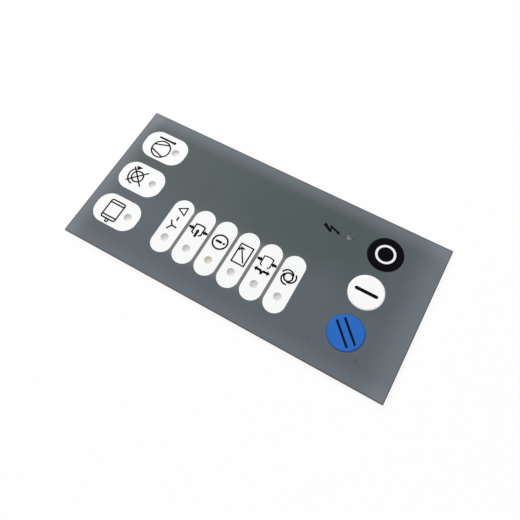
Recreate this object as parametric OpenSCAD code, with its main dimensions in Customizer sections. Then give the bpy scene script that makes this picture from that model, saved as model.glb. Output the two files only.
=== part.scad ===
// Membrane keypad: a flat laminated panel with three round keys on snap domes,
// nine white indicator fields and ten signal lamps. Lengths are in millimetres.
// The rear face lies on z = 0, X runs along the panel and Z points out of its face.

/* [Panel] */
// Length of the panel along X
panel_l = 200; // [190:1:240]
// Height of the panel along Y
panel_h = 95; // [92:1:130]
// Radius of the panel's corners
corner_r = 0.4; // [0.3:0.1:4]

/* [Films] */
// Thickness of the paper release liner
liner_t = 0.1; // [0.05:0.01:0.2]
// Width of the peel slit across the liner
slit_w = 0.3; // [0.1:0.05:0.6]
// Distance from the middle of the panel to the peel slit, to the left
slit_shift = 30; // [10:1:60]
// Thickness of the rear adhesive
rear_adhesive_t = 0.15; // [0.05:0.01:0.3]
// Thickness of the circuit film
circuit_t = 0.15; // [0.08:0.01:0.3]
// Thickness of the silver print on the circuit film
track_t = 0.03; // [0.01:0.01:0.06]
// Thickness of the adhesive under the overlay
overlay_adhesive_t = 0.13; // [0.1:0.01:0.2]
// Thickness of the graphic overlay
overlay_t = 0.25; // [0.2:0.01:0.5]
// Thickness of the white print
print_t = 0.06; // [0.04:0.01:0.1]
// Height of the white print above the overlay's face
print_proud = 0.02; // [0.01:0.01:0.03]

/* [Keys] */
// Diameter of a key
key_d = 20.3; // [14:0.1:26]
// Space between two keys
key_space = 5.1; // [4:0.1:12]
// Distance from the panel's right edge to the middle of the keys
key_edge = 32; // [16:0.5:40]
// Height of the middle row above the middle of the panel
row_rise = 2; // [-4:0.5:4]
// Height of a key above the overlay's face
key_proud = 0.4; // [0.3:0.05:1.5]
// Width of the bevel round a key's top
key_bevel_w = 0.7; // [0.3:0.05:2]
// Depth of the bevel round a key's top
key_bevel_h = 0.25; // [0.1:0.05:0.3]
// Gap round a key in its opening
key_gap = 0.2; // [0.1:0.05:0.5]
// Travel of a key
key_travel = 0.35; // [0.2:0.01:0.5]
// Width of the collar that holds a key under the overlay
collar_w = 0.9; // [0.6:0.05:1.2]
// Thickness of the collar
collar_t = 0.2; // [0.15:0.01:0.4]
// Gap round the collar in the key spacer
collar_gap = 0.3; // [0.2:0.05:0.5]
// Gap above and below the collar at the ends of its travel
collar_play = 0.03; // [0.01:0.01:0.05]
// Diameter of the nub that presses the dome
nub_d = 4; // [2:0.1:6]
// Length of the nub
nub_l = 0.12; // [0.05:0.01:0.2]

/* [Domes] */
// Diameter of a snap dome
dome_d = 12; // [8:0.1:14]
// Height of a snap dome
dome_h = 0.5; // [0.42:0.01:0.7]
// Thickness of the dome's steel
dome_t = 0.07; // [0.04:0.01:0.1]
// Gap round a dome in the dome spacer
dome_gap = 0.2; // [0.1:0.05:0.5]
// Width of the relief cut between two legs of a dome
relief_w = 6.4; // [4:0.1:7]
// Depth of the relief cut between two legs of a dome
relief_h = 1.1; // [0.4:0.1:1.5]
// Diameter of the dimple in a dome's crown
dimple_d = 1.6; // [1:0.1:2.4]
// Depth of the dimple in a dome's crown
dimple_h = 0.1; // [0.05:0.01:0.15]
// Gap between a dome and the nub above it
dome_play = 0.01; // [0.01:0.01:0.03]
// Width of the air channel between the domes
vent_w = 0.8; // [0.4:0.1:2]

/* [Fields] */
// Length of a side field
side_l = 28.8; // [24:0.1:34]
// Height of a side field
side_h = 19.3; // [14:0.1:22]
// Radius of a side field's corners
side_r = 8.3; // [2:0.1:9]
// Distance from the panel's left edge to the side fields
side_edge = 5.7; // [3:0.1:10]
// Width of a middle field
middle_w = 12.7; // [9:0.1:15]
// Height of a middle field
middle_h = 36.2; // [30:0.1:44]
// Space between two middle fields
middle_space = 2; // [1:0.1:5]
// Distance from the middle of the panel to the middle fields, to the left
middle_shift = 9.6; // [5:0.1:12]
// Height of a middle field's centre above its lamp
middle_rise = 8.3; // [4:0.1:10]

/* [Lamps] */
// Diameter of a lamp window
lamp_d = 4.5; // [3:0.1:6]
// Distance from a side field's centre to its lamp
side_lamp_shift = 7.6; // [5:0.1:9]
// Distance from the keys to the power lamp
power_shift = 21.5; // [17:0.1:24]
// Gap round a lens in its window
lens_gap = 0.05; // [0.02:0.01:0.1]
// Width of the lip that holds a lens under the overlay
lens_lip = 0.75; // [0.4:0.05:1.5]
// Gap round and above the lip
lip_play = 0.02; // [0.01:0.01:0.05]
// Depth of a lens's rim below the overlay's face
lens_recess = 0.12; // [0.02:0.01:0.15]
// Width of a lens's rim
lens_rim = 0.15; // [0.1:0.01:0.3]
// Depth of the dish in a signal lens
lens_dish = 0.35; // [0.1:0.01:0.38]
// Height of the crown on the clear power lens
lens_crown = 0.45; // [0.2:0.01:0.8]
// Gap between a lens and the diode under it
lens_clear = 0.05; // [0.02:0.01:0.1]
// Length of a diode
led_l = 1.6; // [1:0.1:2.4]
// Width of a diode
led_w = 0.8; // [0.5:0.1:1.2]
// Height of a diode
led_h = 0.4; // [0.3:0.05:0.5]
// Thickness of a diode's base
led_base_t = 0.14; // [0.1:0.01:0.2]
// Length of a diode's end contacts
led_contact_l = 0.35; // [0.2:0.05:0.4]
// Gap round a diode in the spacers
led_gap = 0.7; // [0.3:0.1:1.2]

/* [Circuit] */
// Width of a silver track
track_w = 0.6; // [0.3:0.05:0.8]
// Distance between two tracks
track_pitch = 1.2; // [1:0.05:1.4]
// Distance from the panel's edge to the outer track
track_edge = 2.5; // [1.5:0.1:4]
// Size of a diode's solder pad
pad_l = 1; // [0.6:0.1:1.4]
// Diameter of a key's middle contact
contact_d = 3; // [2:0.1:4]
// Width of a key's ring contact
ring_w = 1.5; // [0.8:0.1:2]
// Width of the opening in a ring contact
ring_gap = 2; // [1.5:0.1:3]
// Width of the tail outlet beyond the tracks
outlet_margin = 1.5; // [1:0.1:3]
// Height of the tail outlet
outlet_h = 4; // [2:0.1:6]

/* [Hidden] */
$fn = 96;
side_names = ["compressor", "rotation", "motor"];
middle_names = ["star_delta", "load", "alert", "service", "idle", "fan"];
field_names = concat(side_names, middle_names);
lamp_names = concat(field_names, ["power"]);
key_names = ["stop", "start", "reset"];
key_colours = ["#15151b", "#f4f4f4", "#2d68c4"];
sides = len(side_names);
middles = len(middle_names);

// Levels of the stack, from the rear face up
dome_spacer_t = dome_h + dome_play + nub_l - key_travel - collar_play;
key_spacer_t = collar_t + key_travel + 2 * collar_play - overlay_adhesive_t;
z_rear_adhesive = liner_t;
z_circuit = z_rear_adhesive + rear_adhesive_t;
z_track = z_circuit + circuit_t;
z_dome = z_track + track_t;
z_key_spacer = z_dome + dome_spacer_t;
z_overlay_adhesive = z_key_spacer + key_spacer_t;
z_overlay = z_overlay_adhesive + overlay_adhesive_t;
z_face = z_overlay + overlay_t;
z_print = z_face + print_proud - print_t;

// Places on the panel
row_pitch = key_d + key_space;
row_y = [for (i = [1, 0, -1]) row_rise + i * row_pitch];
key_x = panel_l / 2 - key_edge;
side_x = -panel_l / 2 + side_edge + side_l / 2;
middle_pitch = middle_w + middle_space;
middle_x = [for (i = [0 : middles - 1]) (i - (middles - 1) / 2) * middle_pitch - middle_shift];
middle_y = row_y[2] + middle_rise;
field_at = concat([for (y = row_y) [side_x, y]], [for (x = middle_x) [x, middle_y]]);
lamp_at = concat(
    [for (y = row_y) [side_x + side_lamp_shift, y]],
    [for (x = middle_x) [x, row_y[2]]],
    [[key_x - power_shift, row_y[0]]]
);
power = len(lamp_at) - 1;

// Sizes that follow from the others
collar_d = key_d + 2 * collar_w;
collar_hole_d = collar_d + 2 * collar_gap;
lip_d = lamp_d + 2 * lens_lip;
lens_d = lamp_d - 2 * lens_gap;
led_hole_d = led_l + 2 * led_gap;
lead_x = (led_l - led_contact_l) / 2;
ring_d = dome_d;
outlet_l = (sides + middles + len(key_names) + 1) * track_pitch + track_w + 2 * outlet_margin;

// Overshoot of a cutter, and segments of a shallow arc
over = 0.5;
arc_fn = 256;

// Radius of the sphere whose cap has a given diameter and height
function cap_radius(d, h) = (d * d / 4 + h * h) / (2 * h);

// Tail end of the tracks, left of the power lamp's own track
tail_x = lamp_at[power][0] - lead_x - (len(key_names) + 3) * track_pitch;
outlet_x = tail_x + (len(key_names) + 2 - sides - middles + 1) / 2 * track_pitch;
tail_y = row_y[2] - led_hole_d / 2;
function lane_y(i) = -panel_h / 2 + track_edge + i * track_pitch;

// Flat upright outline with fully round ends
module stadium(w, h) {
    square([w, h - w], center = true);
    for (y = [-1, 1]) translate([0, y * (h - w) / 2]) circle(d = w);
}

// Flat outline with round corners
module rounded(l, h, r) {
    square([l - 2 * r, h], center = true);
    square([l, h - 2 * r], center = true);
    for (x = [-1, 1], y = [-1, 1])
        translate([x * (l / 2 - r), y * (h / 2 - r)]) circle(r);
}

// One film of the panel, with its underside at z
module film(z, t) {
    translate([0, 0, z]) linear_extrude(t) rounded(panel_l, panel_h, corner_r);
}

// Round cutters through a film
module holes(places, d, z, t) {
    for (p = places) translate([p[0], p[1], z - over]) cylinder(d = d, h = t + 2 * over);
}

module key_holes(d, z, t) {
    holes([for (y = row_y) [key_x, y]], d, z, t);
}

// Outline of white field i
module field_outline(i) {
    translate(field_at[i]) {
        if (i < sides) rounded(side_l, side_h, side_r);
        else stadium(middle_w, middle_h);
    }
}

// Straight stretch of track between two points on one row or column
module run(a, b) {
    translate([min(a[0], b[0]) - track_w / 2, min(a[1], b[1]) - track_w / 2])
        square([abs(a[0] - b[0]) + track_w, abs(a[1] - b[1]) + track_w]);
}

// Track through a list of corners
module route(points) {
    for (i = [1 : len(points) - 1]) run(points[i - 1], points[i]);
}

module graphic_overlay() {
    color("#666c70") difference() {
        film(z_overlay, overlay_t);
        key_holes(key_d + 2 * key_gap, z_overlay, overlay_t);
        holes(lamp_at, lamp_d, z_overlay, overlay_t);
        for (i = [0 : sides + middles - 1])
            translate([0, 0, z_print]) linear_extrude(print_t + over) field_outline(i);
    }
}

module field(i) {
    color("#f4f4f4") difference() {
        translate([0, 0, z_print]) linear_extrude(print_t) field_outline(i);
        holes([lamp_at[i]], lamp_d, z_print, print_t);
    }
}

module overlay_adhesive() {
    color("#d8d8d0") difference() {
        film(z_overlay_adhesive, overlay_adhesive_t);
        key_holes(collar_hole_d, z_overlay_adhesive, overlay_adhesive_t);
        holes(lamp_at, lip_d + 2 * lip_play, z_overlay_adhesive, overlay_adhesive_t);
    }
}

module key_spacer() {
    color("#e3e7e8") difference() {
        film(z_key_spacer, key_spacer_t);
        key_holes(collar_hole_d, z_key_spacer, key_spacer_t);
        holes(lamp_at, lip_d + 2 * lip_play, z_key_spacer, key_spacer_t);
    }
}

module dome_spacer() {
    color("#dfe3e4") difference() {
        film(z_dome, dome_spacer_t);
        key_holes(dome_d + 2 * dome_gap, z_dome, dome_spacer_t);
        holes(lamp_at, led_hole_d, z_dome, dome_spacer_t);
        translate([key_x - vent_w / 2, row_y[2], z_dome - over])
            cube([vent_w, row_y[0] - row_y[2], dome_spacer_t + 2 * over]);
    }
}

// Silver print: a pad at each end of every diode, a ring and a middle contact under every
// dome, one track from each to the tail, and a common track round the edge of the panel
module silver_tracks() {
    common_y = panel_h / 2 - track_edge;
    common_x = -panel_l / 2 + track_edge;
    ring_x = key_x + ring_d / 2 - ring_w / 2;
    color("silver") translate([0, 0, z_track]) linear_extrude(track_t) {
        for (p = lamp_at, s = [-1, 1])
            translate([p[0] + s * lead_x, p[1]]) square([pad_l, led_w], center = true);
        for (i = [0 : sides + middles - 1]) {
            drop_x = lamp_at[i][0] - lead_x - (i < sides ? (sides - 1 - i) * track_pitch : 0);
            end_x = tail_x - i * track_pitch;
            route([
                [lamp_at[i][0] - lead_x, lamp_at[i][1]],
                [drop_x, lamp_at[i][1]],
                [drop_x, lane_y(i + 1)],
                [end_x, lane_y(i + 1)],
                [end_x, tail_y]
            ]);
        }
        for (j = [0 : len(key_names) - 1]) {
            lane = len(key_names) - j;
            drop_x = key_x - ring_d / 2 - lane * track_pitch;
            end_x = tail_x + (lane + 1) * track_pitch;
            route([
                [key_x, row_y[j]],
                [drop_x, row_y[j]],
                [drop_x, lane_y(lane)],
                [end_x, lane_y(lane)],
                [end_x, tail_y]
            ]);
            translate([key_x, row_y[j]]) {
                circle(d = contact_d);
                difference() {
                    circle(d = ring_d);
                    circle(d = ring_d - 2 * ring_w);
                    translate([-ring_d, -ring_gap / 2]) square([ring_d, ring_gap]);
                }
            }
        }
        power_lane = len(key_names) + 1;
        power_end = tail_x + (power_lane + 1) * track_pitch;
        route([
            [lamp_at[power][0] - lead_x, lamp_at[power][1]],
            [lamp_at[power][0] - lead_x, lane_y(power_lane)],
            [power_end, lane_y(power_lane)],
            [power_end, tail_y]
        ]);
        for (i = [sides - 1 : power])
            run([lamp_at[i][0] + lead_x, lamp_at[i][1]], [lamp_at[i][0] + lead_x, common_y]);
        route([
            [ring_x, row_y[2]],
            [ring_x, common_y],
            [common_x, common_y],
            [common_x, lane_y(0)],
            [tail_x + track_pitch, lane_y(0)],
            [tail_x + track_pitch, tail_y]
        ]);
    }
}

module circuit_film() {
    color("#cdd6da") film(z_circuit, circuit_t);
}

// Rear layer with the outlet for the flat tail
module rear_layer(z, t) {
    difference() {
        film(z, t);
        translate([outlet_x - outlet_l / 2, tail_y - outlet_h / 2, z - over])
            cube([outlet_l, outlet_h, t + 2 * over]);
    }
}

module rear_adhesive() {
    color("#d8d3bf") rear_layer(z_rear_adhesive, rear_adhesive_t);
}

// Release paper in two halves, parted by the slit at which it is peeled off
module release_liner() {
    color("#d9d0bc") difference() {
        rear_layer(0, liner_t);
        translate([-slit_shift - slit_w / 2, -panel_h / 2 - over, -over])
            cube([slit_w, panel_h + 2 * over, liner_t + 2 * over]);
    }
}

// Moulded lens: it stands on the dome spacer with a pocket over its diode, its lip is held under
// the overlay, and its top is dished, or crowned on the clear power lens
module lens(i) {
    lip_h = z_overlay - lip_play - z_key_spacer;
    rim_h = z_face - lens_recess - z_key_spacer;
    pocket_h = max(z_dome + led_h - z_key_spacer, 0) + lens_clear;
    top_d = lens_d - 2 * lens_rim;
    dish_r = cap_radius(top_d, lens_dish);
    crown_r = cap_radius(top_d, lens_crown);
    color(i == power ? "#5c6468" : "#c4c4c0")
        translate([lamp_at[i][0], lamp_at[i][1], z_key_spacer]) rotate_extrude() difference() {
            union() {
                square([lip_d / 2, lip_h]);
                square([lens_d / 2, rim_h]);
                if (i == power) intersection() {
                    square([top_d / 2, rim_h + lens_crown]);
                    translate([0, rim_h + lens_crown - crown_r]) circle(crown_r, $fn = arc_fn);
                }
            }
            square([led_hole_d / 2, pocket_h]);
            if (i < power) translate([0, rim_h - lens_dish + dish_r]) circle(dish_r, $fn = arc_fn);
        }
}

// Chip diode: a base with a contact at each end and the clear block on top
module led(i) {
    body_l = led_l - 2 * led_contact_l;
    color("#e8e2c8") translate([lamp_at[i][0], lamp_at[i][1], z_dome]) {
        translate([-led_l / 2, -led_w / 2, 0]) cube([led_l, led_w, led_base_t]);
        translate([-body_l / 2, -led_w / 2, 0]) cube([body_l, led_w, led_h]);
    }
}

// Key with a bevelled top, a collar under the overlay and a nub over the dome
module key(j) {
    top_z = z_face + key_proud;
    collar_z = z_overlay - collar_play - collar_t;
    color(key_colours[j]) translate([key_x, row_y[j]]) rotate_extrude() polygon([
        [0, collar_z - nub_l],
        [nub_d / 2, collar_z - nub_l],
        [nub_d / 2, collar_z],
        [collar_d / 2, collar_z],
        [collar_d / 2, collar_z + collar_t],
        [key_d / 2, collar_z + collar_t],
        [key_d / 2, top_z - key_bevel_h],
        [key_d / 2 - key_bevel_w, top_z],
        [0, top_z]
    ]);
}

// Section of a snap dome: a cap of a thin sphere, with a dimple pressed into its crown
module dome_section() {
    cap_r = cap_radius(dome_d, dome_h);
    dimple_r = cap_radius(dimple_d, dimple_h);
    intersection() {
        difference() {
            translate([0, dome_h - cap_r]) circle(cap_r, $fn = arc_fn);
            difference() {
                translate([0, dome_h - cap_r]) circle(cap_r - dome_t, $fn = arc_fn);
                translate([0, dome_h - dimple_h + dimple_r]) circle(dimple_r + dome_t, $fn = arc_fn);
            }
            translate([0, dome_h - dimple_h + dimple_r]) circle(dimple_r, $fn = arc_fn);
        }
        square([dome_d, dome_h + over]);
    }
}

// Steel snap dome that stands on its ring contact with four legs
module dome(j) {
    relief_r = cap_radius(relief_w, relief_h);
    color("#c9ccd0") translate([key_x, row_y[j], z_dome]) difference() {
        rotate_extrude() dome_section();
        for (a = [0 : 90 : 270]) rotate(a)
            translate([dome_d / 2 - relief_h + relief_r, 0, -over])
                cylinder(r = relief_r, h = dome_h + 2 * over);
    }
}

graphic_overlay();
overlay_adhesive();
key_spacer();
dome_spacer();
silver_tracks();
circuit_film();
rear_adhesive();
release_liner();
for (i = [0 : len(field_names) - 1])
    field(i);
for (i = [0 : len(lamp_names) - 1])
    lens(i);
for (i = [0 : len(lamp_names) - 1])
    led(i);
for (j = [0 : len(key_names) - 1])
    key(j);
for (j = [0 : len(key_names) - 1])
    dome(j);
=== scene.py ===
"""Membrane keypad: the finish of its films, keys and lamps, its printed signs, and its picture."""

import math

import bpy
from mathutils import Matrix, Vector


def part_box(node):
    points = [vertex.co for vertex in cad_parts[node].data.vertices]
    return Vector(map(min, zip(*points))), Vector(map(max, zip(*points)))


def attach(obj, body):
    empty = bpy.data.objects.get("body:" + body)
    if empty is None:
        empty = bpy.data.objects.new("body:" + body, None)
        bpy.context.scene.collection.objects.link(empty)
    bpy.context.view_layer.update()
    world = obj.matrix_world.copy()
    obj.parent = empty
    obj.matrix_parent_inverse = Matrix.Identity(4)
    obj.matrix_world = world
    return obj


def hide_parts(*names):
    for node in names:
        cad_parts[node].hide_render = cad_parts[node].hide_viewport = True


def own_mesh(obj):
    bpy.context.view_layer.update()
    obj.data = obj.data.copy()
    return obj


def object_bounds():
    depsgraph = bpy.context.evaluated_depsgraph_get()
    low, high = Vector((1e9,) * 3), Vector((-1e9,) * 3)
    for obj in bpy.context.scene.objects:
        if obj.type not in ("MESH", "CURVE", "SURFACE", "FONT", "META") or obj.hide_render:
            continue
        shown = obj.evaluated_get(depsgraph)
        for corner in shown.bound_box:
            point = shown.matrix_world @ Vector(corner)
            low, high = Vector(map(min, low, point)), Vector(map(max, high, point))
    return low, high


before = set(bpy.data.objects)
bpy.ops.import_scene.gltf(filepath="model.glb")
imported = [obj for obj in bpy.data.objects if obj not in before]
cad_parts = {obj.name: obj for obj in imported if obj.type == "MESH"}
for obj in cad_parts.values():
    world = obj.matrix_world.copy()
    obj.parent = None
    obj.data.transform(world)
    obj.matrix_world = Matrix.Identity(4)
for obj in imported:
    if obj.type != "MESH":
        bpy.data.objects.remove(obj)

bl_info = {
    "name": "Membrane Keypad",
    "version": (1, 0, 0),
    "blender": (4, 5, 0),
    "location": "3D View > Sidebar > Keypad",
    "description": "Finishes a laminated keypad, prints its signs and sets up its picture",
    "category": "Object",
}

CAD_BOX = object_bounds()
MM = 0.001

KEYS = ("stop", "start", "reset")
SIDE_FIELDS = ("compressor", "rotation", "motor")
MIDDLE_FIELDS = ("star_delta", "load", "alert", "service", "idle", "fan")
FIELDS = SIDE_FIELDS + MIDDLE_FIELDS
LAMPS = FIELDS + ("power",)

# Smoothness of the printed strokes
RING_STEPS = 96
DISC_STEPS = 40
END_STEPS = 6
# Share of a stroke's width that rounds each of its corners, just short of a half circle
ROUND_END = 0.49


def middle_of(node):
    """Middle of a node's box, on the panel."""
    low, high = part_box(node)
    return (low + high) / 2


def top_of(node):
    """Height of a node's top."""
    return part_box(node)[1].z


def beside(middle, shift, height):
    """Place at a height, moved from a middle by millimetres along X and Y."""
    return (middle.x + shift[0] * MM, middle.y + shift[1] * MM, height)


FACE_Z = top_of("graphic_overlay")
PRINT_Z = top_of("compressor_field")
PANEL_MIDDLE = Vector((0, 0, 0))


def screen(red, green, blue):
    """Linear colour of the 0 to 255 values that a screen shows."""
    shares = [value / 255 for value in (red, green, blue)]
    return [s / 12.92 if s <= 0.04045 else ((s + 0.055) / 1.055) ** 2.4 for s in shares]


def opaque(colour):
    """A colour with its alpha, as a shader's socket takes it."""
    return (*colour, 1.0)


def darker(colour, share):
    """A colour brought down to a share of its brightness, with its alpha."""
    return opaque([channel * share for channel in colour])


# Colours of small marks on the film and the keys, of dust, and of the painted highlights on the clear lens
FILM_MARK = opaque(screen(30, 32, 34))
KEY_MARK = opaque(screen(120, 122, 128))
DUST = opaque(screen(150, 150, 146))
# Colour of the painted highlights on the clear lens.
PAINTED_HIGHLIGHT = opaque(screen(144, 146, 151))
WHITE = opaque((1, 1, 1))


def colour_prop(name, description, red, green, blue):
    """A colour that a user may change."""
    return bpy.props.FloatVectorProperty(
        name=name,
        description=description,
        subtype="COLOR",
        min=0,
        max=1,
        default=screen(red, green, blue),
    )


def length_prop(name, description, millimetres):
    """A length that a user may change."""
    return bpy.props.FloatProperty(
        name=name,
        description=description,
        subtype="DISTANCE",
        unit="LENGTH",
        precision=5,
        default=millimetres * MM,
    )


def share_prop(name, description, default):
    """A share from 0 to 1 that a user may change."""
    return bpy.props.FloatProperty(
        name=name, description=description, subtype="FACTOR", min=0, max=1, default=default
    )


def power_prop(name, description, watts):
    """A lamp's power that a user may change."""
    return bpy.props.FloatProperty(
        name=name, description=description, subtype="POWER", unit="POWER", min=0, default=watts
    )


def place_prop(name, description, millimetres):
    """A place that a user may change."""
    return bpy.props.FloatVectorProperty(
        name=name,
        description=description,
        subtype="TRANSLATION",
        unit="LENGTH",
        default=[value * MM for value in millimetres],
    )


class KeypadFilms(bpy.types.PropertyGroup):
    """Looks of the laminated films."""

    deep: colour_prop("Deep film", "Grey of the overlay in its middle and at its top", 71, 81, 81)
    # The cool grey is painted sheen towards the front and right of the overlay.
    cool: colour_prop("Cool film", "Grey of the overlay at its bottom and right", 86, 94, 100)
    # The pale grey is painted sheen along the overlay's edges.
    pale: colour_prop("Pale film", "Grey of the overlay along its edges", 115, 122, 129)
    # The lit strip is painted light on the film between the white fields.
    strip: colour_prop("Lit strip", "Grey of the overlay between the white fields", 117, 116, 115)
    # The cut rim is a line of painted shade along the overlay's edge.
    rim: colour_prop("Cut rim", "Dark line along the cut edge of the overlay", 66, 58, 58)
    field: colour_prop("White print", "White of the indicator fields", 249, 250, 250)
    adhesive: colour_prop("Clear adhesive", "Adhesive under the overlay", 140, 126, 118)
    spacer: colour_prop("Spacer", "Milky film of the two spacers", 168, 154, 148)
    circuit: colour_prop("Circuit film", "Film that carries the tracks", 176, 168, 166)
    silver: colour_prop("Silver print", "Tracks, pads and contacts", 196, 196, 190)
    rear: colour_prop("Rear adhesive", "Adhesive on the rear face", 190, 172, 158)
    liner: colour_prop("Liner", "Release paper on the rear face", 216, 204, 188)
    # Width of the painted sheen along the overlay's edges.
    edge_fade: length_prop("Edge fade", "Width of the pale border of the overlay", 12)
    # Width of the painted shade along the cut edge.
    rim_width: length_prop("Rim width", "Width of the dark line along the cut edge", 0.6)


class KeypadSigns(bpy.types.PropertyGroup):
    """Sizes and inks of the printed signs."""

    line: length_prop("Line", "Width of a fine printed line", 0.94)
    bold: length_prop("Bold line", "Width of a bold printed line", 1.35)
    relief: length_prop("Relief", "Thickness of the printed ink", 0.02)
    black: colour_prop("Black ink", "Ink of the signs", 7, 6, 7)
    white: colour_prop("White ink", "Ink of the ring on the stop key", 238, 239, 243)


class KeypadKeys(bpy.types.PropertyGroup):
    """Looks of the three keys and sizes of their legends."""

    stop: colour_prop("Stop key", "Plastic of the stop key", 5, 5, 9)
    start: colour_prop("Start key", "Plastic of the start key", 253, 253, 253)
    reset: colour_prop("Reset key", "Plastic of the reset key", 45, 107, 193)
    ring_radius: length_prop("Ring", "Middle radius of the stop key's ring", 5.15)
    ring_width: length_prop("Ring width", "Width of the stop key's ring", 1.35)
    bar_length: length_prop("Bar", "Length of the start key's bar", 13.7)
    bar_width: length_prop("Bar width", "Width of the start key's bar", 2.0)
    stroke_length: length_prop("Stroke", "Length of the reset key's strokes", 16)
    stroke_width: length_prop("Stroke width", "Width of the reset key's strokes", 1.25)
    stroke_space: length_prop("Stroke space", "Distance between the reset key's strokes", 4.5)
    dome: colour_prop("Dome", "Steel of the snap domes", 201, 204, 208)
    dome_keep: share_prop("Pressed dome", "Share of a dome's height that a full press leaves", 0.3)


class KeypadLamps(bpy.types.PropertyGroup):
    """Looks of the lenses and diodes."""

    lens: colour_prop("Signal lens", "Milky plastic of the signal lenses", 214, 213, 208)
    warm: colour_prop("Warm lens", "Milky plastic of the alert lens", 213, 208, 192)
    clear: colour_prop("Clear lens", "Smoky plastic of the power lens", 78, 84, 88)
    resin: colour_prop("Diode", "Resin of the diodes", 232, 226, 200)
    base: colour_prop("Diode base", "Board and contacts of the diodes", 190, 186, 170)


class KeypadStage(bpy.types.PropertyGroup):
    """Floor, lamps and camera of the picture."""

    camera_place: place_prop("Camera", "Place of the camera", (65.72, -98.90, 255.35))
    camera_turn: bpy.props.FloatVectorProperty(
        name="Camera turn",
        description="Turn of the camera about X, Y and Z",
        subtype="EULER",
        default=[math.radians(angle) for angle in (22.705, 1.274, 29.573)],
    )
    camera_lens: bpy.props.FloatProperty(
        name="Focal length",
        description="Focal length of the camera on a 36 mm sensor",
        unit="CAMERA",
        default=34.154,
    )
    floor: colour_prop("Floor", "Paper on the floor", 246, 246, 246)
    floor_glow: share_prop("Floor glow", "Share of plain white in the floor that the camera sees", 0.9)
    sky: bpy.props.FloatProperty(
        name="Sky", description="Strength of the even light from all round", min=0, default=0.33
    )
    key_place: place_prop("Main lamp", "Place of the large soft lamp", (-3150, 2450, 2100))
    key_size: length_prop("Main lamp size", "Width of the large soft lamp", 1800)
    key_power: power_prop("Main lamp power", "Power of the large soft lamp", 207)
    fill_place: place_prop("Fill lamp", "Place of the soft lamp in front", (1100, -1200, 1900))
    fill_size: length_prop("Fill lamp size", "Width of the soft lamp in front", 1200)
    fill_power: power_prop("Fill lamp power", "Power of the soft lamp in front", 18)


class Value:
    """One value of a finish; arithmetic on it adds Math nodes beside it."""

    def __init__(self, finish, socket):
        self.finish = finish
        self.socket = socket

    def __add__(self, other):
        return self.finish.maths("ADD", self, other)

    def __radd__(self, other):
        return self.finish.maths("ADD", other, self)

    def __sub__(self, other):
        return self.finish.maths("SUBTRACT", self, other)

    def __rsub__(self, other):
        return self.finish.maths("SUBTRACT", other, self)

    def __mul__(self, other):
        return self.finish.maths("MULTIPLY", self, other)

    def __rmul__(self, other):
        return self.finish.maths("MULTIPLY", other, self)

    def __abs__(self):
        return self.finish.node("ShaderNodeMath", {"operation": "ABSOLUTE"}, {0: self})


class Finish:
    """A procedural material on Object coordinates, or the world's light."""

    def __init__(self, name, holders=None, shader="Principled BSDF"):
        holders = bpy.data.materials if holders is None else holders
        self.holder = holders.new(name)
        self.holder.use_nodes = True
        self.tree = self.holder.node_tree
        self.shader = self.tree.nodes[shader]
        self.place = self.node("ShaderNodeTexCoord", output="Object")

    def node(self, kind, settings=None, sockets=None, output=0):
        """Add a node, set it, feed its sockets, and give one of its outputs."""
        made = self.tree.nodes.new(kind)
        for name, value in (settings or {}).items():
            setattr(made, name, value)
        for name, value in (sockets or {}).items():
            self.feed(made.inputs[name], value)
        return Value(self, made.outputs[output])

    def feed(self, socket, value):
        """Link a value to a socket, or set the socket to a number or a colour."""
        if isinstance(value, Value):
            self.tree.links.new(value.socket, socket)
        else:
            socket.default_value = value

    def surface(self, **sockets):
        """Feed the shader's own sockets; an underscore stands for a space in a name."""
        for name, value in sockets.items():
            self.feed(self.shader.inputs[name.replace("_", " ")], value)

    def maths(self, operation, first, second):
        """Work out one value from two."""
        return self.node("ShaderNodeMath", {"operation": operation}, {0: first, 1: second})

    def mix(self, share, first, second):
        """Blend from a first to a second colour."""
        return self.node(
            "ShaderNodeMix", {"data_type": "RGBA"}, {0: share, 6: first, 7: second}, output=2
        )

    def ramp(self, value, start, end):
        """Smooth step from 0 at start to 1 at end."""
        return self.node(
            "ShaderNodeMapRange",
            {"interpolation_type": "SMOOTHSTEP"},
            {"Value": value, "From Min": start, "From Max": end},
        )

    def noise(self, size, detail=2.0, stretch=(1, 1, 1)):
        """Cloudy noise with features about that length across, drawn out by stretch."""
        place = self.node(
            "ShaderNodeMapping", sockets={"Vector": self.place, "Scale": [1 / s for s in stretch]}
        )
        return self.node(
            "ShaderNodeTexNoise", sockets={"Vector": place, "Scale": 1 / size, "Detail": detail}
        )

    def axes(self):
        """X, Y and Z of the place on the piece."""
        return [
            self.node("ShaderNodeSeparateXYZ", sockets={"Vector": self.place}, output=axis)
            for axis in "XYZ"
        ]

    def distance(self, centre):
        """Distance of the place on the piece from a point."""
        return self.node(
            "ShaderNodeVectorMath",
            {"operation": "DISTANCE"},
            {0: self.place, 1: centre},
            output="Value",
        )

    def spot(self, centre, radius):
        """Soft round spot about a point: 1 inside and 0 past its radius."""
        return 1 - self.ramp(self.distance(centre), radius / 2, radius)

    def seen_directly(self):
        """1 for rays from the camera and for those that mirror or pass through a piece."""
        rays = [
            self.node("ShaderNodeLightPath", output=name)
            for name in ("Is Camera Ray", "Is Glossy Ray", "Is Transmission Ray")
        ]
        return self.maths("MAXIMUM", self.maths("MAXIMUM", rays[0], rays[1]), rays[2])

    def relief(self, height, depth, strength):
        """Bump of a given depth on the shader's normal."""
        bump = self.node(
            "ShaderNodeBump", sockets={"Strength": strength, "Distance": depth, "Height": height}
        )
        self.surface(Normal=bump)


def give(finish, *nodes):
    """Give CAD nodes a finish."""
    for node in nodes:
        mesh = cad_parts[node].data
        mesh.materials.clear()
        mesh.materials.append(finish.holder)


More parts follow.
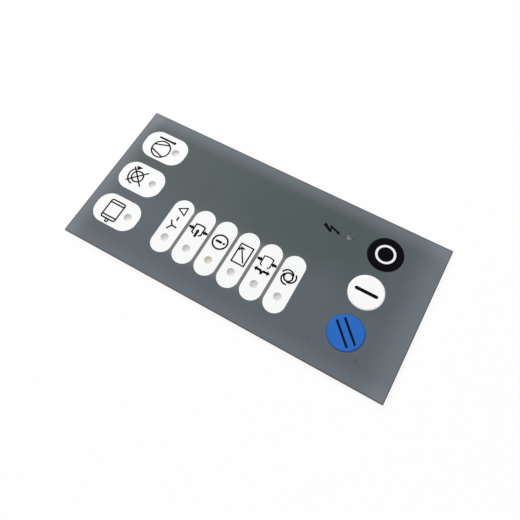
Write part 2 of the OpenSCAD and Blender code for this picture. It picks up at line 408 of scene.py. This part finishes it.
# Small marks on the film's face: place in millimetres, radius and darkness
FILM_MARKS = (
    ((96.7, 16.4), 0.45, 0.55),
    ((78.5, -34.2), 1.5, 0.22),
    ((52.0, -36.2), 1.2, 0.12),
    ((79.5, -35.4), 0.5, 0.3),
)


def painted_sheen_share(finish, x, y):
    """Share of the cool grey: painted sheen towards the front and the right, with a little random cloud.
    """
    half_length, half_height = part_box("graphic_overlay")[1].xy
    front = finish.ramp(y, 0.4 * half_height, -0.4 * half_height)
    right = finish.ramp(x, 0.4 * half_length, 0.95 * half_length)
    cloud = finish.noise(size=0.03)
    return finish.maths("MAXIMUM", front, 0.9 * right) + 0.8 * cloud - 0.4


def painted_edge_sheen_share(finish, x, y, fade):
    """Share of the pale grey, a painted sheen along each edge of the film."""
    low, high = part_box("graphic_overlay")
    left = finish.ramp(x, low.x + fade, low.x)
    right = finish.ramp(x, high.x - 1.6 * fade, high.x)
    top = finish.ramp(y, high.y - fade, high.y)
    bottom = finish.ramp(y, low.y + fade, low.y)
    return 0.8 * left + 0.6 * right + 0.65 * top + 0.35 * bottom


def painted_strip_light_share(finish, x, y):
    """Share of the lit grey, painted light, on the strips of film between the upright fields."""
    first = middle_of(MIDDLE_FIELDS[0] + "_field")
    last = middle_of(MIDDLE_FIELDS[-1] + "_field")
    field_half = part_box(MIDDLE_FIELDS[0] + "_field")[1] - first
    row = (first + last) / 2
    row_half = (last.x - first.x) / 2
    along = 1 - finish.ramp(abs(x - row.x), row_half, row_half + field_half.x)
    across = 1 - finish.ramp(abs(y - row.y), field_half.y - 1.2 * field_half.x, field_half.y)
    return along * across


def painted_edge_shade_share(finish, x, y, width):
    """Share of the dark line of painted shade along the cut edge of the film."""
    half_length, half_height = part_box("graphic_overlay")[1].xy
    nearest = finish.maths("MINIMUM", half_length - abs(x), half_height - abs(y))
    return 0.85 * (1 - finish.ramp(nearest, 0.5 * width, width))


def overlay_finish(films):
    """Matt grey film with painted sheen, cooler to the front and right and paler along its edges, painted
    light between the upright fields, painted shade along its cut edge, a fine grain and a few small marks.
    """
    finish = Finish("overlay_film")
    x, y, _ = finish.axes()
    grain = finish.noise(size=0.0005)
    speckle = finish.ramp(grain, 0.35, 0.75)
    # Painted sheen: cool grey towards the front and right, with some random cloud.
    colour = finish.mix(painted_sheen_share(finish, x, y), opaque(films.deep), opaque(films.cool))
    # Painted sheen: pale grey along each edge of the film.
    colour = finish.mix(painted_edge_sheen_share(finish, x, y, films.edge_fade), colour, opaque(films.pale))
    # Painted light on the strips of film between the upright fields.
    colour = finish.mix(painted_strip_light_share(finish, x, y), colour, opaque(films.strip))
    colour = finish.mix(0.08 * speckle, colour, opaque(films.pale))
    # Painted shade: a dark line along the cut edge of the film.
    colour = finish.mix(painted_edge_shade_share(finish, x, y, films.rim_width), colour, opaque(films.rim))
    for shift, radius, darkness in FILM_MARKS:
        mark = finish.spot(beside(PANEL_MIDDLE, shift, FACE_Z), radius * MM)
        colour = finish.mix(darkness * mark, colour, FILM_MARK)
    finish.surface(Base_Color=colour, Roughness=0.5 + 0.14 * grain, Specular_IOR_Level=0.2)
    finish.relief(grain, depth=0.00002, strength=0.35)
    return finish


def sheet_finish(name, colour, cloud_size, grain_size, contrast, roughness):
    """Film, adhesive or print of one colour, slightly cloudy, with a fine grain."""
    finish = Finish(name)
    cloud = finish.noise(size=cloud_size)
    grain = finish.noise(size=grain_size, detail=3.0)
    deep = darker(colour, 1 - contrast)
    finish.surface(
        Base_Color=finish.mix(0.5 * cloud + 0.5 * grain, deep, opaque(colour)),
        Roughness=roughness - 0.06 + 0.12 * grain,
        Specular_IOR_Level=0.2,
    )
    finish.relief(grain, depth=grain_size / 20, strength=0.3)
    return finish


def liner_finish(films):
    """Release paper with long fibres and a faint calendered sheen."""
    finish = Finish("liner_paper")
    fibre = finish.noise(size=0.0011, detail=4.0, stretch=(5, 1, 1))
    cross = finish.noise(size=0.0009, detail=4.0, stretch=(1, 4, 1))
    cloud = finish.noise(size=0.016, detail=3.0)
    tone = 0.4 * fibre + 0.25 * cross + 0.35 * cloud
    finish.surface(
        Base_Color=finish.mix(tone, darker(films.liner, 0.8), opaque(films.liner)),
        Roughness=0.5 + 0.2 * fibre,
    )
    finish.relief(fibre + cross, depth=0.00004, strength=0.4)
    return finish


def silver_finish(films):
    """Silver print: fine metal flakes in a binder."""
    finish = Finish("silver_print")
    flake = finish.noise(size=0.00012)
    finish.surface(
        Base_Color=finish.mix(flake, darker(films.silver, 0.7), opaque(films.silver)),
        Metallic=0.75,
        Roughness=0.42 + 0.2 * flake,
    )
    finish.relief(flake, depth=0.00001, strength=0.4)
    return finish


def ink_finish(name, colour):
    """Screen-printed ink, a little thinner in places."""
    finish = Finish(name)
    thin = finish.ramp(finish.noise(size=0.0007, detail=3.0), 0.55, 0.85)
    grain = finish.noise(size=0.00025)
    worn = opaque([0.9 * channel + 0.004 for channel in colour])
    finish.surface(
        Base_Color=finish.mix(0.6 * thin, opaque(colour), worn),
        Roughness=0.45 + 0.15 * grain,
        Specular_IOR_Level=0.04,
    )
    finish.relief(grain, depth=0.00001, strength=0.3)
    return finish


# Small marks on the keys' tops: key, place from its middle in millimetres, radius and strength
KEY_MARKS = (
    ("start", (-8.2, 5.4), 0.35, 0.35),
    ("start", (-5.8, -5.6), 0.4, 0.3),
    ("reset", (-3.3, -0.4), 0.4, 0.25),
    ("reset", (-3.1, -4.4), 0.35, 0.2),
)


def key_finish(key, colour):
    """Moulded plastic with a fine spark texture, painted shade on its bevelled rim and a few small marks.
    """
    finish = Finish(key + "_plastic")
    middle = middle_of(key + "_key")
    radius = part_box(key + "_key")[1].x - middle.x
    top = top_of(key + "_key")
    texture = finish.noise(size=0.00035)
    cloud = finish.noise(size=0.006)
    tone = finish.mix(0.6 * cloud + 0.4 * texture, darker(colour, 0.95), opaque(colour))
    for marked, shift, mark_radius, strength in KEY_MARKS:
        if marked == key:
            mark = finish.spot(beside(middle, shift, top), mark_radius * MM)
            tone = finish.mix(strength * mark, tone, KEY_MARK)
    away = finish.distance((middle.x, middle.y, top))
    # Painted shade: a darker ring on the bevel near the key's edge.
    painted_bevel_shade = finish.ramp(away, 0.86 * radius, 0.93 * radius)
    tone = finish.mix(0.55 * painted_bevel_shade, tone, darker(colour, 0.6))
    finish.surface(Base_Color=tone, Roughness=0.42 + 0.1 * texture, Specular_IOR_Level=0.04)
    finish.relief(texture, depth=0.00003, strength=0.3)
    return finish


# Painted highlights on the clear lens: place from its middle in millimetres, radius and strength
PAINTED_LENS_HIGHLIGHTS = (((-1.05, -1.2), 1.2, 0.55), ((0.3, -0.85), 1.1, 0.45), ((0.9, 1.8), 0.7, 0.3))


def lens_finish(name, colour, roughness, coat, painted_highlights=()):
    """Moulded lens plastic with faint flow clouds and dust, and painted highlights on the power lens."""
    finish = Finish(name)
    flow = finish.noise(size=0.0018)
    dust = finish.ramp(finish.noise(size=0.00022), 0.6, 0.8)
    tone = finish.mix(flow, darker(colour, 0.85), opaque(colour))
    tone = finish.mix(0.12 * dust, tone, DUST)
    # Painted highlights: pale spots on the power lens.
    for shift, radius, strength in painted_highlights:
        highlight_spot = finish.spot(beside(middle_of("power_lens"), shift, FACE_Z), radius * MM)
        tone = finish.mix(strength * highlight_spot, tone, PAINTED_HIGHLIGHT)
    finish.surface(
        Base_Color=tone,
        Roughness=roughness + 0.1 * dust,
        Coat_Weight=coat,
        Specular_IOR_Level=0.2,
    )
    finish.relief(flow, depth=0.00002, strength=0.2)
    return finish


def diode_finish(lamps):
    """Chip diode: a dull base below and cloudy resin above."""
    finish = Finish("diode_resin")
    _, _, z = finish.axes()
    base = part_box("power_led")[0].z
    height = top_of("power_led") - base
    resin = finish.ramp(z, base + 0.33 * height, base + 0.37 * height)
    cloud = finish.noise(size=0.0004)
    clear = finish.mix(cloud, darker(lamps.resin, 0.8), opaque(lamps.resin))
    finish.surface(
        Base_Color=finish.mix(resin, opaque(lamps.base), clear), Roughness=0.3 + 0.15 * cloud
    )
    return finish


def steel_finish(keys):
    """Rolled spring steel with fine lines along X."""
    finish = Finish("dome_steel")
    rolled = finish.noise(size=0.00008, detail=3.0, stretch=(40, 1, 1))
    cloud = finish.noise(size=0.003)
    tone = 0.6 * rolled + 0.4 * cloud
    finish.surface(
        Base_Color=finish.mix(tone, darker(keys.dome, 0.75), opaque(keys.dome)),
        Metallic=1.0,
        Roughness=0.24 + 0.16 * rolled,
    )
    finish.relief(rolled, depth=0.000005, strength=0.4)
    return finish


def start_fresh():
    """Deselect everything, so that the next operators act on new work alone."""
    bpy.ops.object.select_all(action="DESELECT")


def take(piece):
    """Make a piece the only one selected, and the active one."""
    start_fresh()
    piece.select_set(True)
    bpy.context.view_layer.objects.active = piece


def settle(piece):
    """Apply a piece's place, turn and size, so that its object sits at the origin."""
    take(piece)
    bpy.ops.object.transform_apply(location=True, rotation=True, scale=True)
    return piece


def apply_modifiers(piece):
    """Apply all of a piece's modifiers in order."""
    take(piece)
    for modifier in list(piece.modifiers):
        bpy.ops.object.modifier_apply(modifier=modifier.name)


def polar(radius, degrees):
    """Point at a radius and an angle."""
    angle = math.radians(degrees)
    return Vector((radius * math.cos(angle), radius * math.sin(angle)))


def bar(start, end, width):
    """Straight flat stroke with round ends."""
    run = Vector(end) - Vector(start)
    start_fresh()
    bpy.ops.mesh.primitive_plane_add(size=1)
    stroke = bpy.context.object
    stroke.scale = (run.length + width, width, 1)
    settle(stroke)
    bpy.ops.object.mode_set(mode="EDIT")
    bpy.ops.mesh.select_all(action="SELECT")
    bpy.ops.mesh.bevel(affect="VERTICES", offset=ROUND_END * width, segments=END_STEPS)
    bpy.ops.object.mode_set(mode="OBJECT")
    stroke.location = ((Vector(start) + Vector(end)) / 2).to_3d()
    stroke.rotation_euler.z = math.atan2(run.y, run.x)
    return settle(stroke)


def ring(centre, radius, width):
    """Flat ring: a circle's edges are extruded and drawn in."""
    start_fresh()
    outer = radius + width / 2
    inner = radius - width / 2
    bpy.ops.mesh.primitive_circle_add(vertices=RING_STEPS, radius=outer, fill_type="NOTHING")
    stroke = bpy.context.object
    bpy.ops.object.mode_set(mode="EDIT")
    bpy.ops.mesh.select_all(action="SELECT")
    bpy.ops.mesh.extrude_edges_move()
    bpy.ops.transform.resize(value=(inner / outer, inner / outer, 1), center_override=(0, 0, 0))
    bpy.ops.mesh.select_all(action="SELECT")
    bpy.ops.mesh.normals_make_consistent(inside=False)
    bpy.ops.object.mode_set(mode="OBJECT")
    stroke.location = Vector(centre).to_3d()
    return settle(stroke)


def arc(centre, radius, width, start, end):
    """Flat arc from a start to an end angle: a ring with the rest of its faces deleted."""
    stroke = ring((0, 0), radius, width)
    bpy.ops.object.mode_set(mode="EDIT")
    bpy.ops.mesh.select_mode(type="FACE")
    bpy.ops.mesh.select_all(action="DESELECT")
    bpy.ops.object.mode_set(mode="OBJECT")
    for face in stroke.data.polygons:
        angle = math.degrees(math.atan2(face.center.y, face.center.x))
        face.select = (angle - start) % 360 > (end - start) % 360
    bpy.ops.object.mode_set(mode="EDIT")
    bpy.ops.mesh.delete(type="FACE")
    bpy.ops.mesh.select_mode(type="VERT")
    bpy.ops.object.mode_set(mode="OBJECT")
    stroke.location = Vector(centre).to_3d()
    return settle(stroke)


def disc(centre, radius):
    """Flat dot."""
    start_fresh()
    bpy.ops.mesh.primitive_circle_add(vertices=DISC_STEPS, radius=radius, fill_type="NGON")
    stroke = bpy.context.object
    stroke.location = Vector(centre).to_3d()
    return settle(stroke)


def patch(*corners):
    """Flat patch with the given corners, in turn anticlockwise."""
    start_fresh()
    bpy.ops.mesh.primitive_circle_add(vertices=len(corners), radius=1, fill_type="NGON")
    stroke = bpy.context.object
    for vertex, corner in zip(stroke.data.vertices, corners):
        vertex.co = Vector(corner).to_3d()
    return settle(stroke)


def arrow(tail, tip, shaft, head_length, head_width):
    """Straight arrow with a filled head."""
    way = (Vector(tip) - Vector(tail)).normalized()
    across = Vector((-way.y, way.x)) * head_width / 2
    neck = Vector(tip) - way * head_length
    return [bar(tail, neck, shaft), patch(tip, neck + across, neck - across)]


def frame_line(low, high, corner, width):
    """Rounded frame between two opposite corners: a plane is bevelled, inset and opened."""
    (left, bottom), (right, top) = low, high
    start_fresh()
    bpy.ops.mesh.primitive_plane_add(size=1)
    stroke = bpy.context.object
    stroke.scale = (right - left + width, top - bottom + width, 1)
    settle(stroke)
    bpy.ops.object.mode_set(mode="EDIT")
    bpy.ops.mesh.select_mode(type="FACE")
    bpy.ops.mesh.select_all(action="SELECT")
    bpy.ops.mesh.bevel(affect="VERTICES", offset=corner, segments=END_STEPS)
    bpy.ops.mesh.select_all(action="SELECT")
    bpy.ops.mesh.inset(thickness=width)
    bpy.ops.mesh.delete(type="FACE")
    bpy.ops.mesh.select_mode(type="VERT")
    bpy.ops.object.mode_set(mode="OBJECT")
    stroke.location = ((left + right) / 2, (bottom + top) / 2, 0)
    return settle(stroke)


def print_sign(name, strokes, centre, height, thickness, finish, body):
    """Thicken flat strokes drawn in millimetres, unite them, and lay them on a piece as one sign."""
    for stroke in strokes:
        solid = stroke.modifiers.new("thickness", "SOLIDIFY")
        solid.thickness = thickness / MM
        solid.offset = 1
        apply_modifiers(stroke)
    sign, *others = strokes
    for other in others:
        union = sign.modifiers.new("union", "BOOLEAN")
        union.operation = "UNION"
        union.solver = "MANIFOLD"
        union.object = other
        apply_modifiers(sign)
        bpy.data.objects.remove(other)
    sign.name = name
    sign.data.name = name
    sign.scale = (MM, MM, MM)
    sign.location = (centre.x, centre.y, height)
    settle(sign)
    sign.data.materials.clear()
    sign.data.materials.append(finish.holder)
    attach(sign, body)


# Each sign is drawn in millimetres about its field's middle, from the widths of a fine and a bold line


def compressor_sign(line, bold):
    """Circle with two lines that close to the left, under a thermometer."""
    centre, radius = Vector((-2.05, -1.8)), 5.88
    narrow, wide = 164, 52
    stem_end, bulb, bulb_radius = (-7.1, 5.7), (3.2, 5.7), 1.0
    strokes = [ring(centre, radius, line)]
    for side in (1, -1):
        strokes.append(
            bar(centre + polar(radius, side * narrow), centre + polar(radius, side * wide), line)
        )
    return strokes + [bar(stem_end, bulb, bold), disc(bulb, bulb_radius)]


def rotation_sign(line, bold):
    """Circle with a turning arrow on its left, crossed out."""
    centre, radius, turn_radius = Vector((-3.4, 0.25)), 3.65, 5.85
    return [
        ring(centre, radius, line),
        arc(centre, turn_radius, line, 134, 264),
        patch((-7.8, 6.9), (-6.3, 3.9), (-3.5, 6.8)),
        bar((-8.4, 5.3), (1.5, -4.7), line),
        bar((1.4, 5.3), (-8.4, -4.6), line),
    ]


def motor_sign(line, bold):
    """Rounded housing with two end caps and a shaft below."""
    low, high, corner = (-7.3, -6.4), (2.2, 6.0), 1.7
    cap, shaft_low, shaft_high, shaft_corner = 1.9, (-3.1, -8.3), (-1.6, -6.5), 0.5
    return [
        frame_line(low, high, corner, line),
        bar((low[0], low[1] + cap), (high[0], low[1] + cap), line),
        bar((low[0], high[1] - cap), (high[0], high[1] - cap), line),
        frame_line(shaft_low, shaft_high, shaft_corner, 0.85 * line),
    ]


def star_delta_sign(line, bold):
    """Triangle and lying star with a dash between them."""
    corners = [(-2.75, 11.2), (2.0, 13.9), (2.3, 8.5)]
    star, tips = (-0.6, 0.0), [(-2.4, 2.8), (-2.3, -2.8), (2.3, -0.15)]
    strokes = [bar(corners[i - 1], corners[i], 0.85 * line) for i in range(len(corners))]
    strokes += [bar(star, tip, line) for tip in tips]
    return strokes + [bar((0.25, 6.2), (0.25, 4.1), line)]


def vessel(middle_x, top, depth, width, line):
    """Vessel with an arched lid and two feet turned in."""
    half, arch, foot_in, foot_down = width / 2, 0.4, 1.1, 0.65
    left, right = middle_x - half, middle_x + half
    bottom = top - depth
    return [
        bar((left, top), (left, bottom), line),
        bar((right, top), (right, bottom), line),
        bar((left, top), (middle_x - half / 3, top + arch), line),
        bar((middle_x - half / 3, top + arch), (middle_x + half / 3, top + arch), line),
        bar((middle_x + half / 3, top + arch), (right, top), line),
        bar((left, bottom), (left + foot_in, bottom - foot_down), line),
        bar((right, bottom), (right - foot_in, bottom - foot_down), line),
    ]


def flow_arrows(middle_x, height, width, line):
    """Short arrows that point into a vessel from both sides."""
    reach, overlap, head_length, head_width = 2.5, 0.2, 1.6, 3.1
    left, right = middle_x - width / 2, middle_x + width / 2
    return [
        *arrow((left - reach, height), (left + overlap, height), line, head_length, head_width),
        *arrow((right + reach, height), (right - overlap, height), line, head_length, head_width),
    ]


def load_sign(line, bold):
    """Vessel with arrows into it from both sides and a bold arrow up into it."""
    middle_x, top, depth, width = -0.05, 7.75, 5.4, 5.9
    flow_height, tail, tip, head_length, head_width = 4.8, 0.6, 5.6, 2.0, 2.7
    return [
        *vessel(middle_x, top, depth, width, line),
        *flow_arrows(middle_x, flow_height, width, 1.2 * bold),
        *arrow((middle_x, tail), (middle_x, tip), 1.15 * bold, head_length, head_width),
    ]


def alert_sign(line, bold):
    """Circle round a lying exclamation mark."""
    centre, radius = Vector((0.12, 4.37)), 4.4
    stroke_start, stroke_end = Vector((-2.2, 0)), Vector((0.55, 0))
    dot, dot_radius = Vector((2.45, 0)), 0.72
    return [
        ring(centre, radius, 1.1 * line),
        bar(centre + stroke_start, centre + stroke_end, 1.1 * bold),
        disc(centre + dot, dot_radius),
    ]


def service_sign(line, bold):
    """Upright frame with an open arrow across it."""
    low, high, corner = (-3.45, -2.2), (4.43, 9.75), 0.35
    tail, tip, barbs = (3.0, -0.5), (-2.1, 7.6), ((-0.2, 7.2), (-2.7, 5.8))
    strokes = [frame_line(low, high, corner, 0.9 * line), bar(tail, tip, 0.9 * line)]
    return strokes + [bar(tip, barb, line) for barb in barbs]


def idle_sign(line, bold):
    """Vessel with arrows into it from both sides, over a double arrow with a notch in its middle."""
    middle_x, top, depth, width, flow_height = 0, 9.35, 5.3, 5.8, 6.6
    height, tips, bend, notch, foot = 0.65, (-4.9, 5.0), 1.0, (0.05, -0.35), (0.05, -1.1)
    head_length, head_width = 1.8, 3.2
    strokes = vessel(middle_x, top, depth, width, 0.8 * line)
    strokes += flow_arrows(middle_x, flow_height, width, 1.2 * bold)
    for tip in tips:
        start = (math.copysign(bend, tip), height)
        strokes += arrow(start, (tip, height), 1.05 * bold, head_length, head_width)
        strokes.append(bar(start, notch, bold))
    return strokes + [bar(notch, foot, bold)]


def fan_sign(line, bold):
    """Circle with three swirling blades."""
    centre, radius, blade_radius, blade_shift = Vector((-0.1, 4.45)), 2.5, 3.4, 1.12
    hub_angle, blade_start, blade_end = 145, 18, 168
    strokes = [ring(centre, radius, line)]
    for turn in (0, 120, 240):
        hub = centre + polar(blade_shift, hub_angle - turn)
        strokes.append(arc(hub, blade_radius, line, blade_start - turn, blade_end - turn))
    return strokes


def bolt_sign(line):
    """Lying lightning bolt with a tapered start and an arrow's head, left of the power lamp."""
    taper = ((-17.2, 0.2), (-11.8, -2.5), (-11.3, -1.4), (-16.3, 2.2))
    low, high, tip, head_size = (-11.65, -1.85), (-12.7, 1.3), (-5.9, -1.1), 2.3
    return [
        patch(*taper),
        bar(low, high, line),
        *arrow(high, tip, 1.3 * line, head_size, head_size),
    ]


def stop_legend(keys):
    """Plain ring."""
    return [ring((0, 0), keys.ring_radius / MM, keys.ring_width / MM)]


def start_legend(keys):
    """Bar along X."""
    width = keys.bar_width / MM
    reach = Vector((keys.bar_length / MM - width, 0)) / 2
    return [bar(-reach, reach, width)]


def reset_legend(keys):
    """Two slanting strokes side by side."""
    width = keys.stroke_width / MM
    reach = polar((keys.stroke_length / MM - width) / 2, -45)
    shift = polar(keys.stroke_space / MM / 2, 45)
    return [bar(side * shift - reach, side * shift + reach, width) for side in (1, -1)]


SIGN_DRAWERS = {
    "compressor": compressor_sign,
    "rotation": rotation_sign,
    "motor": motor_sign,
    "star_delta": star_delta_sign,
    "load": load_sign,
    "alert": alert_sign,
    "service": service_sign,
    "idle": idle_sign,
    "fan": fan_sign,
}


class KEYPAD_OT_overlay(bpy.types.Operator):
    """Finish the grey overlay and its white print fields"""

    bl_idname = "keypad.overlay"
    bl_label = "Finish Overlay"

    def execute(self, context):
        films = context.scene.keypad_films
        give(overlay_finish(films), "graphic_overlay")
        white = sheet_finish(
            "white_print", films.field, cloud_size=0.02, grain_size=0.0006, contrast=0.03, roughness=0.5
        )
        give(white, *[name + "_field" for name in FIELDS])
        return {"FINISHED"}


class KEYPAD_OT_layers(bpy.types.Operator):
    """Finish the films, adhesives, tracks and paper under the overlay"""

    bl_idname = "keypad.layers"
    bl_label = "Finish Layers"

    def execute(self, context):
        films = context.scene.keypad_films
        clear = sheet_finish(
            "clear_adhesive",
            films.adhesive,
            cloud_size=0.01,
            grain_size=0.0012,
            contrast=0.1,
            roughness=0.3,
        )
        spacer = sheet_finish(
            "spacer_film", films.spacer, cloud_size=0.03, grain_size=0.0009, contrast=0.06, roughness=0.4
        )
        circuit = sheet_finish(
            "circuit_film", films.circuit, cloud_size=0.03, grain_size=0.0009, contrast=0.06, roughness=0.3
        )
        rear = sheet_finish(
            "rear_adhesive", films.rear, cloud_size=0.008, grain_size=0.0015, contrast=0.12, roughness=0.35
        )
        give(clear, "overlay_adhesive")
        give(spacer, "key_spacer", "dome_spacer")
        give(circuit, "circuit_film")
        give(rear, "rear_adhesive")
        give(silver_finish(films), "silver_tracks")
        give(liner_finish(films), "release_liner")
        return {"FINISHED"}


class KEYPAD_OT_lamps(bpy.types.Operator):
    """Finish the ten lenses and the diodes under them"""

    bl_idname = "keypad.lamps"
    bl_label = "Finish Lamps"

    def execute(self, context):
        lamps = context.scene.keypad_lamps
        milky = lens_finish("signal_lens", lamps.lens, roughness=0.4, coat=0.0)
        warm = lens_finish("warm_lens", lamps.warm, roughness=0.4, coat=0.0)
        # The clear lens gets painted highlights.
        clear = lens_finish("clear_lens", lamps.clear, roughness=0.45, coat=0.1, painted_highlights=PAINTED_LENS_HIGHLIGHTS)
        give(milky, *[name + "_lens" for name in FIELDS if name != "alert"])
        give(warm, "alert_lens")
        give(clear, "power_lens")
        give(diode_finish(lamps), *[name + "_led" for name in LAMPS])
        return {"FINISHED"}


class KEYPAD_OT_keys(bpy.types.Operator):
    """Finish the three keys and print their legends"""

    bl_idname = "keypad.keys"
    bl_label = "Finish Keys"

    def legend(self, key, strokes, thickness, ink):
        """Lay a legend on a key's top."""
        node = key + "_key"
        print_sign(
            key + "_legend", strokes, middle_of(node), top_of(node), thickness, ink, key + "_button"
        )

    def execute(self, context):
        keys = context.scene.keypad_keys
        signs = context.scene.keypad_signs
        for key, colour in zip(KEYS, (keys.stop, keys.start, keys.reset)):
            give(key_finish(key, colour), key + "_key")
        black = ink_finish("key_black_ink", signs.black)
        white = ink_finish("key_white_ink", signs.white)
        self.legend("stop", stop_legend(keys), signs.relief, white)
        self.legend("start", start_legend(keys), signs.relief, black)
        self.legend("reset", reset_legend(keys), signs.relief, black)
        return {"FINISHED"}


class KEYPAD_OT_domes(bpy.types.Operator):
    """Put in the snap domes as smooth-shaded copies of their CAD nodes"""

    bl_idname = "keypad.domes"
    bl_label = "Fit Domes"

    def execute(self, context):
        keys = context.scene.keypad_keys
        steel = steel_finish(keys)
        for key in KEYS:
            node = key + "_dome"
            give(steel, node)
            dome = bpy.data.objects.new(key + "_snap_dome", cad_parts[node].data.copy())
            context.scene.collection.objects.link(dome)
            take(dome)
            bpy.ops.object.mode_set(mode="EDIT")
            bpy.ops.mesh.select_all(action="SELECT")
            bpy.ops.mesh.remove_doubles(threshold=0.001 * MM)
            bpy.ops.object.mode_set(mode="OBJECT")
            bpy.ops.object.shade_smooth_by_angle(angle=math.radians(30))
            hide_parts(node)
            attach(dome, "panel")
            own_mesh(dome)
        return {"FINISHED"}


class KEYPAD_OT_signs(bpy.types.Operator):
    """Print the signs on the white fields and the bolt on the film"""

    bl_idname = "keypad.signs"
    bl_label = "Print Signs"

    def execute(self, context):
        signs = context.scene.keypad_signs
        line, bold = signs.line / MM, signs.bold / MM
        ink = ink_finish("sign_black_ink", signs.black)
        for name, drawer in SIGN_DRAWERS.items():
            centre = middle_of(name + "_field")
            print_sign(
                name + "_sign", drawer(line, bold), centre, PRINT_Z, signs.relief, ink, "panel"
            )
        lamp = middle_of("power_lens")
        print_sign("bolt_sign", bolt_sign(line), lamp, FACE_Z, signs.relief, ink, "panel")
        return {"FINISHED"}


# Width of the floor in diagonals of the panel, and the nearest that the camera sees, in metres
FLOOR_SPREAD = 40
NEAREST_VIEW = 0.01


class KEYPAD_OT_stage(bpy.types.Operator):
    """Lay the pale floor, hang the soft lamps and set up the camera"""

    bl_idname = "keypad.stage"
    bl_label = "Set Stage"

    def floor(self, stage):
        """Lay a wide sheet of pale paper under the panel; the camera sees it nearly plain white."""
        start_fresh()
        side = FLOOR_SPREAD * (CAD_BOX[1] - CAD_BOX[0]).length
        bpy.ops.mesh.primitive_plane_add(size=side, location=(0, 0, CAD_BOX[0].z))
        floor = settle(bpy.context.object)
        floor.name = "floor"
        finish = Finish("floor_paper")
        tooth = finish.noise(size=0.002)
        paper = finish.mix(tooth, darker(stage.floor, 0.98), opaque(stage.floor))
        finish.surface(Base_Color=paper, Roughness=0.9)
        seen = finish.seen_directly()
        glow = finish.node("ShaderNodeEmission", sockets={"Color": WHITE, "Strength": 1.0})
        shader = Value(finish, finish.shader.outputs[0])
        blend = finish.node(
            "ShaderNodeMixShader", sockets={0: stage.floor_glow * seen, 1: shader, 2: glow}
        )
        finish.feed(finish.tree.nodes["Material Output"].inputs["Surface"], blend)
        floor.data.materials.append(finish.holder)

    def sky(self, context, stage):
        """Even white light from all round, before a plain white background."""
        sky = Finish("studio_sky", bpy.data.worlds, "Background")
        seen = sky.seen_directly()
        sky.surface(Color=WHITE, Strength=stage.sky + (1 - stage.sky) * seen)
        context.scene.world = sky.holder

    def lamp(self, name, place, size, power):
        """Hang a square soft lamp that faces the panel."""
        start_fresh()
        bpy.ops.object.light_add(type="AREA", location=place)
        lamp = bpy.context.object
        lamp.name = name
        lamp.data.shape = "SQUARE"
        lamp.data.size = size
        lamp.data.energy = power
        lamp.rotation_euler = (-Vector(place)).to_track_quat("-Z", "Y").to_euler()

    def execute(self, context):
        stage = context.scene.keypad_stage
        self.floor(stage)
        self.sky(context, stage)
        self.lamp("main_lamp", stage.key_place, stage.key_size, stage.key_power)
        self.lamp("fill_lamp", stage.fill_place, stage.fill_size, stage.fill_power)
        start_fresh()
        bpy.ops.object.camera_add(location=stage.camera_place, rotation=stage.camera_turn)
        camera = bpy.context.object
        camera.data.lens = stage.camera_lens
        camera.data.clip_start = NEAREST_VIEW
        context.scene.camera = camera
        context.scene.view_settings.view_transform = "Standard"
        return {"FINISHED"}


OPERATORS = (
    KEYPAD_OT_stage,
    KEYPAD_OT_overlay,
    KEYPAD_OT_layers,
    KEYPAD_OT_lamps,
    KEYPAD_OT_keys,
    KEYPAD_OT_domes,
    KEYPAD_OT_signs,
)
SETTINGS = {
    "keypad_films": KeypadFilms,
    "keypad_signs": KeypadSigns,
    "keypad_keys": KeypadKeys,
    "keypad_lamps": KeypadLamps,
    "keypad_stage": KeypadStage,
}


class KEYPAD_PT_sidebar(bpy.types.Panel):
    """Steps and settings of the keypad"""

    bl_idname = "KEYPAD_PT_sidebar"
    bl_label = "Membrane Keypad"
    bl_space_type = "VIEW_3D"
    bl_region_type = "UI"
    bl_category = "Keypad"

    def draw(self, context):
        for step in OPERATORS:
            self.layout.operator(step.bl_idname)
        for name in SETTINGS:
            group = getattr(context.scene, name)
            box = self.layout.box()
            for setting in group.__annotations__:
                box.prop(group, setting)


CLASSES = (*SETTINGS.values(), *OPERATORS, KEYPAD_PT_sidebar)


def register():
    """Add the classes and hang the settings on the scene."""
    for item in CLASSES:
        bpy.utils.register_class(item)
    for name, group in SETTINGS.items():
        setattr(bpy.types.Scene, name, bpy.props.PointerProperty(type=group))


def unregister():
    """Take the settings and the classes away again."""
    for name in SETTINGS:
        delattr(bpy.types.Scene, name)
    for item in reversed(CLASSES):
        bpy.utils.unregister_class(item)


def main():
    """Dress the keypad step by step."""
    register()
    bpy.ops.keypad.stage()
    bpy.ops.keypad.overlay()
    bpy.ops.keypad.layers()
    bpy.ops.keypad.lamps()
    bpy.ops.keypad.keys()
    bpy.ops.keypad.domes()
    bpy.ops.keypad.signs()


if __name__ == "__main__":
    main()
